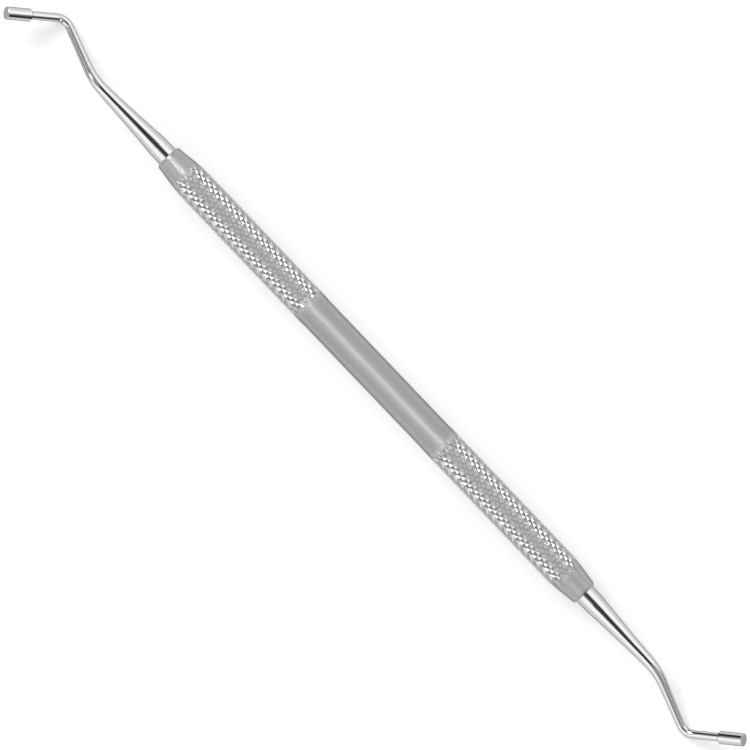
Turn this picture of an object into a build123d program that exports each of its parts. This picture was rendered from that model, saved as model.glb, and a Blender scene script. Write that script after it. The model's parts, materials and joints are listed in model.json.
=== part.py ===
from build123d import *
from math import asin, cos, degrees, pi, radians, sin, tan
import os

# Double-ended dental plugger, in millimetres.
# It lies on a table along X, as it comes to rest: both knees touch z = 0, with the handle just clear of it.
# The two working ends are alike, half a turn apart about the Z axis, but for a small lean to -Y.

# Handle: one turned bar, with a knurled band on each side of a plain waist
handle_length = 99.0
grip_diameter = 6.1
waist_diameter = 5.79
waist_length = 27.2
waist_blend_length = 5.6
waist_blend_radius = 40.0
cone_half_angle = 7.5
cone_length = 6.0
cone_blend_radius = 28.0
handle_edge_radius = 0.5

# Diamond knurl: two crossing sets of V grooves, rolled before the waist and the cones were turned
knurl_starts = 20
knurl_turn = 0.5
knurl_pitch = 1.5
knurl_depth = 0.27
knurl_inset = 2.0
knurl_run_out = 1.3
knurl_step = 0.01

# Sockets in the handle's ends, and the tangs pressed into them
tang_diameter = 3.0
tang_length = 10.0
tang_chamfer = 0.4
socket_clearance = 0.01
socket_spare_depth = 1.0
drill_point_angle = 118.0

# Shank: a round stub, then a hollow taper through the first bend to the knee
stub_diameter = 3.6
stub_length = 2.3
neck_diameter = 1.42
taper_power = 1.8
taper_section_spacing = 1.0

# Slight lean of both shanks to -Y, just outside their stubs
shank_lean = 0.5
lean_radius = 200.0

# Bends of the shank's centreline, measured in its own plane from the handle's end
first_corner_reach = 17.47
first_bend_angle = 23.7
first_bend_radius = 11.4
corner_spacing = 11.53
tip_angle = 48.65
knee_radius = 2.3
tip_twist = 3.8
tip_length = 10.92
knee_drop = 0.03

# Head: the flat-ended cylinder that packs the filling
head_diameter = 2.15
head_length = 4.47
head_shoulder_chamfer = 0.16
head_edge_chamfer = 0.06

handle_half = handle_length / 2
grip_radius = grip_diameter / 2
waist_radius = waist_diameter / 2
waist_half = waist_length / 2
stub_radius = stub_diameter / 2
neck_radius = neck_diameter / 2
knurl_row = knurl_pitch / 2
knurl_start = waist_half + knurl_inset
cone_start = handle_half - cone_length
cone_slope = tan(radians(cone_half_angle))


def turned_radius(x):
    """Radius of the turned surface, without knurl, at a distance from the handle's middle."""
    share = min(max((x - waist_half) / waist_blend_length, 0), 1)
    body = waist_radius + (grip_radius - waist_radius) * share
    tangent = cone_blend_radius * tan(radians(cone_half_angle / 2))
    past_blend = x - (cone_start - tangent)
    if past_blend <= 0:
        return body
    if x < cone_start + tangent * cos(radians(cone_half_angle)):
        return body - cone_blend_radius + (cone_blend_radius**2 - past_blend**2) ** 0.5
    return body - (x - cone_start) * cone_slope


def knurl_row_count():
    """Rows of diamonds in a band, which ends where the cone has cut away the grooves."""
    knurl_end = cone_start + knurl_depth / cone_slope
    return round((knurl_end - knurl_start) / knurl_row)


def knurl_root(x):
    """Radius of the groove bottoms, which rise to the turned surface where the knurl runs out."""
    rise = max(1 - (x - knurl_start) / knurl_run_out, 0)
    return min(grip_radius - knurl_depth * (1 - rise), turned_radius(x) - knurl_step)


def lattice_point(x, radius, step):
    """Point of the knurl's lattice. Steps count half diamonds round the handle, its underside between two."""
    angle = pi * (step + knurl_turn) / knurl_starts
    return Vector(x, radius * sin(angle), -radius * cos(angle))


def diamond_facets(x, step):
    """One knurl diamond: a pyramid, cut flat where the turned surface is lower than its tip."""
    corners = [(x - knurl_row, step), (x, step + 1), (x + knurl_row, step), (x, step - 1)]
    base = [lattice_point(cx, knurl_root(cx), cs) for cx, cs in corners]
    surface = turned_radius(x)
    cut_depth = grip_radius - surface
    if cut_depth < knurl_step:
        tip = lattice_point(x, surface, step)
        return [(base[i - 1], base[i], tip) for i in range(4)]
    tip = lattice_point(x, grip_radius, step)
    top = []
    for (cx, cs), low in zip(corners, base):
        fall = grip_radius - knurl_root(cx) + turned_radius(cx) - surface
        top.append(tip + (low - tip) * (cut_depth / fall))
    sides = [(base[i - 1], base[i], top[i], top[i - 1]) for i in range(4)]
    return sides + [(top[0], top[1], top[2]), (top[2], top[3], top[0])]


def end_facets(x, inward, row):
    """Half diamonds that close a band against the ring at its end."""
    facets = []
    for step in range(row % 2, 2 * knurl_starts, 2):
        middle = lattice_point(x, knurl_root(x), step)
        ahead = lattice_point(x + inward, knurl_root(x + inward), step)
        for side in (-1, 1):
            facets.append((middle, lattice_point(x, knurl_root(x), step + side), ahead))
    return facets


def knurl_faces():
    """Every face of the band of knurl on the handle's +X half."""
    rows = knurl_row_count()
    facets = end_facets(knurl_start, knurl_row, 0)
    facets += end_facets(knurl_start + rows * knurl_row, -knurl_row, rows)
    for row in range(1, rows):
        for step in range(row % 2, 2 * knurl_starts, 2):
            facets += diamond_facets(knurl_start + row * knurl_row, step)
    return [Face(Wire.make_polygon(points)) for points in facets]


def ring_face(x):
    """Narrow flat step between the turned surface and the end of a band of knurl."""
    circle = Wire.make_circle(turned_radius(x), Plane(origin=(x, 0, 0), z_dir=(1, 0, 0)))
    points = [lattice_point(x, knurl_root(x), step) for step in range(2 * knurl_starts)]
    return Face(circle, [Wire.make_polygon(points)])


def waist_faces():
    """Turned surface between the two bands of knurl."""
    end = (knurl_start, turned_radius(knurl_start))
    outline = Wire.make_polygon(
        [(-end[0], end[1]), (-waist_half, waist_radius), (waist_half, waist_radius), end], close=False)
    corners = [v for v in outline.vertices() if abs(abs(v.X) - waist_half) < 0.001]
    return Shell.revolve(outline.fillet_2d(waist_blend_radius, corners), 360, Axis.X).faces()


def socket_radius():
    return tang_diameter / 2 + socket_clearance


def cone_faces():
    """Turned cone, rounded edge, end face and drilled socket of the handle's +X end."""
    start = knurl_start + knurl_row_count() * knurl_row
    socket_end = handle_half - tang_length - socket_spare_depth
    drill_point = socket_radius() / tan(radians(drill_point_angle / 2))
    outline = Wire.make_polygon(
        [
            (start, turned_radius(start)),
            (handle_half, turned_radius(handle_half)),
            (handle_half, socket_radius()),
            (socket_end, socket_radius()),
            (socket_end - drill_point, 0),
        ],
        close=False,
    )
    edge = [v for v in outline.vertices() if v.X > handle_half - 0.001 and v.Y > stub_radius]
    return Shell.revolve(outline.fillet_2d(handle_edge_radius, edge), 360, Axis.X).faces()


def make_handle():
    """The whole bar, closed from its turned and knurled surfaces."""
    half = cone_faces() + knurl_faces()
    half += [ring_face(knurl_start), ring_face(knurl_start + knurl_row_count() * knurl_row)]
    other_half = [face.rotate(Axis.Z, 180) for face in half]
    return Solid(Shell(waist_faces() + half + other_half))


def knee_depth():
    """How far the centreline's knee lies from the handle's axis, in the plane of the shank."""
    turn = first_bend_angle + tip_angle
    tangent = knee_radius * tan(radians(turn / 2))
    fall = (corner_spacing - tangent) * sin(radians(first_bend_angle))
    return fall + knee_radius * (1 - cos(radians(first_bend_angle)))


def shank_roll():
    """Turn of the shank's plane about the handle, which brings its knee just below the grip's underside."""
    return degrees(asin((grip_radius + knee_drop - neck_radius) / knee_depth()))


def direction(angle, roll):
    """Unit vector that leaves the handle's axis by an angle, upwards at a roll from +Y."""
    away = sin(radians(angle))
    return Vector(cos(radians(angle)), away * cos(radians(roll)), away * sin(radians(roll)))


def centreline(lean):
    """Centreline from the handle's end to the working face: straight runs joined by tangent arcs."""
    start = Vector(handle_half, 0, 0)
    lean_corner = start + Vector(stub_length + lean_radius * tan(radians(abs(lean) / 2)), 0, 0)
    first_corner = start + Vector(first_corner_reach, 0, 0)
    knee = first_corner + direction(-first_bend_angle, shank_roll()) * corner_spacing
    face = knee + direction(tip_angle, shank_roll() + tip_twist) * tip_length
    corners = []
    for point in (first_corner, knee, face):
        corners.append(lean_corner + (point - lean_corner).rotate(Axis.Z, lean))
    return FilletPolyline(start, lean_corner, *corners, radius=[lean_radius, first_bend_radius, knee_radius])


def tapered_shank(line):
    """Hollow taper from the stub to the knee, through circles square to the centreline."""
    runs = line.edges()
    length = sum(run.length for run in runs[:-2])
    count = round((length - stub_length) / taper_section_spacing)
    across = Vector(0, -sin(radians(shank_roll())), cos(radians(shank_roll())))
    circles = []
    for i in range(count + 1):
        left = 1 - i / count
        at = length - (length - stub_length) * left
        centre = line.position_at(at, position_mode=PositionMode.LENGTH)
        along = line.tangent_at(at, position_mode=PositionMode.LENGTH)
        radius = neck_radius + (stub_radius - neck_radius) * left**taper_power
        circles.append(Plane(origin=centre, x_dir=across.cross(along), z_dir=along) * Circle(radius))
    return loft(circles)


def knee_and_neck(line):
    """Round wire of one diameter: the knee's arc and the straight neck up to the face."""
    path = Wire(line.edges()[-2:])
    start = Plane(origin=path @ 0, z_dir=path % 0)
    return sweep(start * Circle(neck_radius), path=path)


def make_head(line):
    """Plain cylinder with a small chamfer at its shoulder and a fine one round its working face."""
    face = Plane(origin=line @ 1, z_dir=line % 1)
    head = Cylinder(head_diameter / 2, head_length, align=(Align.CENTER, Align.CENTER, Align.MAX))
    head = chamfer(head.edges().sort_by(Axis.Z)[0], head_shoulder_chamfer)
    head = chamfer(head.edges().sort_by(Axis.Z)[-1], head_edge_chamfer)
    return face * head


def tang_and_stub():
    """The stub outside the handle's end and the thinner tang inside its socket."""
    seat = Plane(origin=(handle_half, 0, 0), z_dir=(1, 0, 0))
    stub = Cylinder(stub_radius, stub_length, align=(Align.CENTER, Align.CENTER, Align.MIN))
    tang = Cylinder(tang_diameter / 2, tang_length, align=(Align.CENTER, Align.CENTER, Align.MAX))
    tang = chamfer(tang.edges().sort_by(Axis.Z)[0], tang_chamfer)
    return seat * (stub + tang)


def make_working_end(lean):
    """One working end in one piece: tang, stub, tapered shank, knee, neck and head."""
    line = centreline(lean)
    return tang_and_stub() + tapered_shank(line) + knee_and_neck(line) + make_head(line)


def main():
    os.makedirs("parts", exist_ok=True)
    pieces = {
        "handle": make_handle(),
        "right_working_end": make_working_end(-shank_lean),
        "left_working_end": make_working_end(shank_lean).rotate(Axis.Z, 180),
    }
    ends = (pieces["right_working_end"] + pieces["left_working_end"]).bounding_box()
    to_table = Pos(0, -ends.center().Y, -ends.min.Z)
    for name, piece in pieces.items():
        export_step(to_table * piece, f"parts/{name}.step")


main()
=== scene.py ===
import json
import math

import bpy
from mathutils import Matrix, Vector


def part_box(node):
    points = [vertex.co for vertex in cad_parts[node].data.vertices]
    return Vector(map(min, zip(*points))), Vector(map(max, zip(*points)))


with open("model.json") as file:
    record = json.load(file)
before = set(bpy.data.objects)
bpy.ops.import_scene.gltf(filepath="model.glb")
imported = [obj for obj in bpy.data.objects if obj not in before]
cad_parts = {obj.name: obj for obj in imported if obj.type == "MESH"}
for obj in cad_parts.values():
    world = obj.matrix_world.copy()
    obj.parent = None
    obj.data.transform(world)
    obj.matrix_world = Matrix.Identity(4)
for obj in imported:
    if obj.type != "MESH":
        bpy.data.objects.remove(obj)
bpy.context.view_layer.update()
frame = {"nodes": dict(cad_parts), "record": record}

MM = 0.001

# The photograph looks straight down; the handle runs down to the right across its square frame
PHOTO_PIXELS = 750
PIXELS_PER_MM = 6.1
HANDLE_ANGLE = 46.334
HANDLE_MIDDLE = (375.65, 374.66)
CAMERA_HEIGHT = 1.5
CAMERA_CLIP = (0.01, 10.0)
SENSOR = 36.0

# Brightness of the studio, where 1 is white
SOFTBOX_HIGH = 1.55
SOFTBOX_LOW = 0.97
ROOM_HIGH = 0.44
ROOM_LOW = 0.065

# Directions in the studio are degrees from overhead: along the handle, across it or any way.
# Two numbers are where a smooth change starts and ends, or its first and last value.
# Three are a band's low edge, high edge and softness.
ROOM_DARKENS = (54.0, 62.0)
SOFTBOX_DIMS = (60.0, 90.0)

# The softboxes lie on both sides of the handle, between two angles from straight across it
NEAR_EDGE = (-22.0, -27.0)
NEAR_EDGE_MOVES = (42.0, 60.0)
NEAR_BULGE = 14.0
NEAR_BULGE_BAND = (48.0, 58.0, 6.0)
FAR_EDGE = 25.0
FAR_BULGE = 31.0
FAR_BULGE_BAND = (52.0, 65.0, 6.0)
SOFTBOX_EDGE_SOFTNESS = 10.0

# The opening between the softboxes, overhead
OPENING_STARTS_ACROSS = (-38.0, -8.0)
OPENING_ENDS_ACROSS = (14.0, 36.0)
OPENING_ALONG = (-13.0, 13.0, 6.0)

# Lamps towards the ends of the handle: strength, then the band along the handle and the band across it
LEFT_STRIP = (10.0, (-56.0, -43.0, 4.0), (-22.0, 28.0, 14.0))
RIGHT_STRIP = (7.0, (46.0, 58.0, 4.0), (-40.0, -18.0, 14.0))
NARROW_STRIP = (36.0, (-60.0, -52.0, 4.0), (-6.0, 6.0, 4.0))
PANEL = (2.3, (-48.0, -27.0, 4.0), (-38.0, 38.0, 8.0))

# Slanting gap in the panel
GAP_SLANT = 0.35
GAP_ORIGIN_ACROSS = -10.0
GAP_BAND = (27.5, 41.5, 3.0)

# Floor
FLOOR_SIDE = 1.0
FLOOR_WHITE = 1.0
FLOOR_PAINT = 0.5

# Sizes of the handle that its finishes follow
GRIP_RADIUS = 3.05 * MM
KNURL_START = 15.6 * MM
CONE_START = 43.5 * MM
KNURL_END = 45.6 * MM

# Length over which one finish gives way to the next
FINISH_FADE = 1.0 * MM

# Depths below the grip's surface between which the knurl turns brighter, up to its crests: its darker
# grooves are painted shade, and its brighter crests are a painted highlight and wear
KNURL_SHADE_TO_HIGHLIGHT_DEPTHS = (0.25 * MM, 0.02 * MM)

# A surface whose normal is this square to the handle's axis is turned, not knurled
TURNED_SQUARENESS = (0.88, 0.96)

# Steel is very slightly blue
STEEL_TINT = (0.985, 1.0, 1.025)

# Grey levels and roughness. A pair goes from one to the other as the grain or the lines vary,
# and the knurl's grey as it rises from its grooves to its crests, from painted shade to a painted
# highlight and wear.
TURNED_GREY = (0.50, 0.57)
CONE_DARKER = 0.05
KNURL_SHADE_TO_HIGHLIGHT_GREY = (0.52, 0.58)
WAIST_ROUGHNESS = (0.52, 0.58)
TURNED_ROUGHNESS = (0.42, 0.48)
KNURL_ROUGHNESS = (0.25, 0.31)
POLISHED_GREY = (0.57, 0.62)
POLISHED_ROUGHNESS = (0.03, 0.05)
MATT_GREY = (0.45, 0.53)
MATT_ROUGHNESS = 0.5

# Tint of the steel's reflections at grazing angles
SATIN_EDGE = 0.3
POLISHED_EDGE = 0.1

# The satin spreads reflections along the handle, as fine lines turned round it do
SATIN_SPREAD = 0.9
SPREAD_TURN = 0.25

# Marks in the steel: how many to the millimetre along each axis, and their detail
SATIN_GRAIN = ((5, 5, 5), 4.0)
TURNING_LINES = ((16, 0.7, 0.7), 3.0)
MATT_GRAIN = ((12, 12, 12), 3.0)
POLISHING_LINES = ((0.5, 9, 9), 3.0)
SATIN_RELIEF = 0.001 * MM
MATT_RELIEF = 0.002 * MM
POLISHED_RELIEF_SHARE = 0.1

# Heights from the plane of a working face between which its matt finish begins
MATT_BEGINS = (-0.03 * MM, -0.01 * MM)


def handle_middle():
    low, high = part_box("handle")
    return (low + high) / 2


def add_camera():
    """Long lens straight above the instrument, turned so that the handle lies as in the photograph."""
    turn = math.radians(HANDLE_ANGLE)
    right = Vector((math.cos(turn), math.sin(turn), 0))
    up = Vector((-math.sin(turn), math.cos(turn), 0))
    pixel = MM / PIXELS_PER_MM
    middle = (PHOTO_PIXELS - 1) / 2
    offset = right * (middle - HANDLE_MIDDLE[0]) * pixel - up * (middle - HANDLE_MIDDLE[1]) * pixel
    data = bpy.data.cameras.new("camera")
    data.sensor_width = SENSOR
    data.lens = SENSOR * CAMERA_HEIGHT / (PHOTO_PIXELS * pixel)
    data.clip_start, data.clip_end = CAMERA_CLIP
    camera = bpy.data.objects.new("camera", data)
    camera.location = handle_middle() + offset + Vector((0, 0, CAMERA_HEIGHT))
    camera.rotation_euler = (0, 0, turn)
    bpy.context.scene.collection.objects.link(camera)
    bpy.context.scene.camera = camera


class Nodes:
    """Short way to write a node tree."""

    def __init__(self, tree):
        self.tree = tree
        tree.nodes.clear()

    def add(self, kind, **settings):
        node = self.tree.nodes.new(kind)
        for name, value in settings.items():
            setattr(node, name, value)
        return node

    def put(self, value, socket):
        if isinstance(value, bpy.types.NodeSocket):
            self.tree.links.new(value, socket)
        else:
            socket.default_value = value

    def math(self, operation, *values):
        node = self.add("ShaderNodeMath", operation=operation)
        for i, value in enumerate(values):
            self.put(value, node.inputs[i])
        return node.outputs[0]

    def degrees(self, operation, *values):
        return self.math("MULTIPLY", self.math(operation, *values), 180 / math.pi)

    def vector(self, operation, *values):
        node = self.add("ShaderNodeVectorMath", operation=operation)
        for i, value in enumerate(values):
            self.put(value, node.inputs[i])
        return node.outputs["Value" if operation in ("DOT_PRODUCT", "LENGTH") else "Vector"]

    def split(self, vector):
        node = self.add("ShaderNodeSeparateXYZ")
        self.put(vector, node.inputs[0])
        return node.outputs

    def step(self, value, low, high, start=0.0, end=1.0):
        """Smooth step from start to end as value goes from low to high."""
        node = self.add("ShaderNodeMapRange", interpolation_type="SMOOTHSTEP")
        for i, number in enumerate((value, low, high, start, end)):
            self.put(number, node.inputs[i])
        return node.outputs[0]

    def band(self, value, low, high, soft):
        """1 between low and high, with each edge a smooth step as wide as soft."""
        rise = self.step(value, low - soft / 2, low + soft / 2)
        fall = self.step(value, high - soft / 2, high + soft / 2, 1.0, 0.0)
        return self.math("MULTIPLY", rise, fall)

    def between(self, value, low, high, soft):
        """As band, for limits that are themselves worked out by nodes."""
        rise = self.step(self.math("SUBTRACT", value, low), -soft / 2, soft / 2)
        fall = self.step(self.math("SUBTRACT", high, value), -soft / 2, soft / 2)
        return self.math("MULTIPLY", rise, fall)

    def blend(self, share, start, end):
        """Number between start and end."""
        node = self.add("ShaderNodeMix")
        for name, value in zip(("Factor", "A", "B"), (share, start, end)):
            self.put(value, node.inputs[name])
        return node.outputs[0]

    def outside(self, share):
        """What is left of 1 beside a share."""
        return self.math("SUBTRACT", 1.0, share)


def grey(level):
    return (level, level, level, 1)


def room_and_softboxes(n, x, y, z):
    """Brightness of the dim room and the two softboxes in it."""
    away = n.degrees("ARCCOSINE", z)
    turn = n.degrees("ARCTAN2", n.math("MULTIPLY", x, n.math("SIGN", y)), n.math("ABSOLUTE", y))
    room = n.step(away, *ROOM_DARKENS, ROOM_HIGH, ROOM_LOW)
    softbox = n.step(away, *SOFTBOX_DIMS, SOFTBOX_HIGH, SOFTBOX_LOW)
    near_bulge = n.math("MULTIPLY", n.band(away, *NEAR_BULGE_BAND), NEAR_BULGE)
    near_edge = n.math("SUBTRACT", n.step(away, *NEAR_EDGE_MOVES, *NEAR_EDGE), near_bulge)
    far_bulge = n.math("MULTIPLY", n.band(away, *FAR_BULGE_BAND), FAR_BULGE)
    far_edge = n.math("ADD", FAR_EDGE, far_bulge)
    return n.blend(n.between(turn, near_edge, far_edge, SOFTBOX_EDGE_SOFTNESS), room, softbox)


def opening(n, along, across):
    """1 in the opening overhead, which draws the dark line along the polished shanks."""
    starts = n.step(across, *OPENING_STARTS_ACROSS)
    ends = n.step(across, *OPENING_ENDS_ACROSS, 1.0, 0.0)
    return n.math("MULTIPLY", n.math("MULTIPLY", starts, ends), n.band(along, *OPENING_ALONG))


def lamp(n, along, across, strength, band_along, band_across):
    """Brightness that one lamp adds."""
    place = n.math("MULTIPLY", n.band(along, *band_along), n.band(across, *band_across))
    return n.math("MULTIPLY", place, strength)


def panel_gap(n, along, across):
    """1 in the gap that keeps the panel's reflection off the middle run of the shanks."""
    slant = n.math("MULTIPLY", n.math("SUBTRACT", across, GAP_ORIGIN_ACROSS), GAP_SLANT)
    return n.band(n.math("SUBTRACT", slant, along), *GAP_BAND)


def add_world():
    """Dim room with a long softbox on each side, strips beyond the handle's ends and a panel."""
    world = bpy.data.worlds.new("studio")
    bpy.context.scene.world = world
    world.use_nodes = True
    n = Nodes(world.node_tree)
    x, y, z = n.split(n.add("ShaderNodeTexCoord").outputs["Generated"])
    along = n.degrees("ARCTAN2", x, z)
    across = n.degrees("ARCTAN2", y, z)
    light = n.math("MULTIPLY", room_and_softboxes(n, x, y, z), n.outside(opening(n, along, across)))
    light = n.math("MAXIMUM", light, ROOM_LOW)
    for strip in (LEFT_STRIP, RIGHT_STRIP, NARROW_STRIP):
        light = n.math("ADD", light, lamp(n, along, across, *strip))
    panel = n.math("MULTIPLY", lamp(n, along, across, *PANEL), n.outside(panel_gap(n, along, across)))
    light = n.math("ADD", light, panel)
    studio = n.add("ShaderNodeBackground")
    studio.inputs["Color"].default_value = grey(1.0)
    n.put(light, studio.inputs["Strength"])
    white = n.add("ShaderNodeBackground")
    white.inputs["Color"].default_value = grey(1.0)
    mix = n.add("ShaderNodeMixShader")
    n.put(n.add("ShaderNodeLightPath").outputs["Is Camera Ray"], mix.inputs[0])
    n.put(studio.outputs[0], mix.inputs[1])
    n.put(white.outputs[0], mix.inputs[2])
    n.put(mix.outputs[0], n.add("ShaderNodeOutputWorld").inputs["Surface"])


def white_floor():
    """Half white paint; the rest of the white is only seen, so that it adds no light to the instrument."""
    material = bpy.data.materials.new("floor")
    material.use_nodes = True
    n = Nodes(material.node_tree)
    path = n.add("ShaderNodeLightPath").outputs
    seen = n.math("MAXIMUM", path["Is Camera Ray"], path["Is Glossy Ray"])
    seen = n.math("MAXIMUM", seen, path["Is Transmission Ray"])
    paint = n.add("ShaderNodeBsdfDiffuse")
    paint.inputs["Color"].default_value = grey(FLOOR_PAINT)
    glow = n.add("ShaderNodeEmission")
    n.put(n.math("MULTIPLY", seen, FLOOR_WHITE - FLOOR_PAINT), glow.inputs["Strength"])
    both = n.add("ShaderNodeAddShader")
    n.put(paint.outputs[0], both.inputs[0])
    n.put(glow.outputs[0], both.inputs[1])
    n.put(both.outputs[0], n.add("ShaderNodeOutputMaterial").inputs["Surface"])
    return material


def add_floor():
    """Plain white floor that keeps the instrument's soft shadow."""
    half = FLOOR_SIDE / 2
    corners = [(-half, -half, 0), (half, -half, 0), (half, half, 0), (-half, half, 0)]
    mesh = bpy.data.meshes.new("floor")
    mesh.from_pydata(corners, [], [(0, 1, 2, 3)])
    mesh.materials.append(white_floor())
    floor = bpy.data.objects.new("floor", mesh)
    bpy.context.scene.collection.objects.link(floor)


def new_steel(name):
    material = bpy.data.materials.new(name)
    material.use_nodes = True
    n = Nodes(material.node_tree)
    steel = n.add("ShaderNodeBsdfPrincipled")
    steel.inputs["Metallic"].default_value = 1.0
    n.put(steel.outputs[0], n.add("ShaderNodeOutputMaterial").inputs["Surface"])
    return material, n, steel


def noise(n, place, scale, detail):
    """Noise from 0 to 1, with its scale in grains to the millimetre along each axis."""
    texture = n.add("ShaderNodeTexNoise")
    n.put(n.vector("MULTIPLY", place, Vector(scale) / MM), texture.inputs["Vector"])
    texture.inputs["Scale"].default_value = 1.0
    texture.inputs["Detail"].default_value = detail
    return texture.outputs["Fac"]


def paint_steel(n, steel, level):
    """Steel colour of a given level of grey."""
    colour = n.add("ShaderNodeCombineColor")
    for socket, share in zip(colour.inputs, STEEL_TINT):
        n.put(n.math("MULTIPLY", level, share), socket)
    n.put(colour.outputs[0], steel.inputs["Base Color"])


def relief(n, height, depth, steel):
    """Bump of a given depth on the steel."""
    bump = n.add("ShaderNodeBump")
    bump.inputs["Distance"].default_value = depth
    n.put(height, bump.inputs["Height"])
    n.put(bump.outputs[0], steel.inputs["Normal"])


def satin_steel():
    """Turned bar in fine satin, with a smoother knurl whose grooves are painted darker as shade and whose
    crests are painted brighter as a highlight and as wear.
    """
    material, n, steel = new_steel("satin_steel")
    surface = n.add("ShaderNodeTexCoord").outputs
    place = surface["Object"]
    from_middle = n.vector("SUBTRACT", place, handle_middle())
    outward = n.vector("MULTIPLY", from_middle, (0, 1, 1))
    radius = n.vector("LENGTH", outward)
    reach = n.math("ABSOLUTE", n.split(from_middle)["X"])
    squareness = n.vector("DOT_PRODUCT", surface["Normal"], n.vector("NORMALIZE", outward))
    past_knurl = n.step(reach, KNURL_END, KNURL_END + FINISH_FADE)
    turned = n.math("MAXIMUM", n.step(squareness, *TURNED_SQUARENESS), past_knurl)
    waist = n.step(reach, KNURL_START - FINISH_FADE / 2, KNURL_START + FINISH_FADE / 2, 1.0, 0.0)
    cone = n.step(reach, CONE_START, KNURL_END)
    # The knurl's grey rises with height: its grooves are painted darker as shade, and its crests are
    # painted brighter as a highlight and as wear.
    knurl_shade_highlight_and_wear = n.step(radius, *(GRIP_RADIUS - depth for depth in KNURL_SHADE_TO_HIGHLIGHT_DEPTHS))
    grain = noise(n, place, *SATIN_GRAIN)
    lines = noise(n, place, *TURNING_LINES)
    turned_grey = n.math("SUBTRACT", n.blend(grain, *TURNED_GREY), n.math("MULTIPLY", cone, CONE_DARKER))
    paint_steel(n, steel, n.blend(turned, n.blend(knurl_shade_highlight_and_wear, *KNURL_SHADE_TO_HIGHLIGHT_GREY), turned_grey))
    rough = n.blend(turned, n.blend(grain, *KNURL_ROUGHNESS), n.blend(grain, *TURNED_ROUGHNESS))
    n.put(n.blend(waist, rough, n.blend(grain, *WAIST_ROUGHNESS)), steel.inputs["Roughness"])
    steel.inputs["Specular Tint"].default_value = grey(SATIN_EDGE)
    steel.inputs["Anisotropic"].default_value = SATIN_SPREAD
    steel.inputs["Anisotropic Rotation"].default_value = SPREAD_TURN
    round_axis = n.add("ShaderNodeTangent", direction_type="RADIAL", axis="X")
    n.put(round_axis.outputs[0], steel.inputs["Tangent"])
    relief(n, n.math("ADD", lines, grain), SATIN_RELIEF, steel)
    return material


def polished_steel(node, face):
    """Mirror polish with faint lines along the shank, and a matt working face."""
    material, n, steel = new_steel("polished_" + node)
    place = n.add("ShaderNodeTexCoord").outputs["Object"]
    from_face = n.vector("SUBTRACT", place, Vector(face["pos_m"]))
    height = n.vector("DOT_PRODUCT", from_face, Vector(face["axis"]))
    matt = n.step(height, *MATT_BEGINS)
    grain = noise(n, place, *MATT_GRAIN)
    lines = noise(n, place, *POLISHING_LINES)
    paint_steel(n, steel, n.blend(matt, n.blend(lines, *POLISHED_GREY), n.blend(grain, *MATT_GREY)))
    n.put(n.blend(matt, n.blend(lines, *POLISHED_ROUGHNESS), MATT_ROUGHNESS), steel.inputs["Roughness"])
    steel.inputs["Specular Tint"].default_value = grey(POLISHED_EDGE)
    polish = n.math("MULTIPLY", lines, POLISHED_RELIEF_SHARE)
    relief(n, n.blend(matt, polish, grain), MATT_RELIEF, steel)
    return material


def dress(node, material):
    mesh = frame["nodes"][node].data
    mesh.materials.clear()
    mesh.materials.append(material)


def dress_instrument():
    """Satin handle, and a polished working end on each side of it."""
    dress("handle", satin_steel())
    mounts = {mount["name"]: mount for mount in frame["record"]["mounts"]}
    for side in ("left", "right"):
        node = side + "_working_end"
        dress(node, polished_steel(node, mounts[side + "_working_face"]))


add_camera()
add_world()
add_floor()
dress_instrument()

bpy.context.scene.view_settings.view_transform = "Standard"
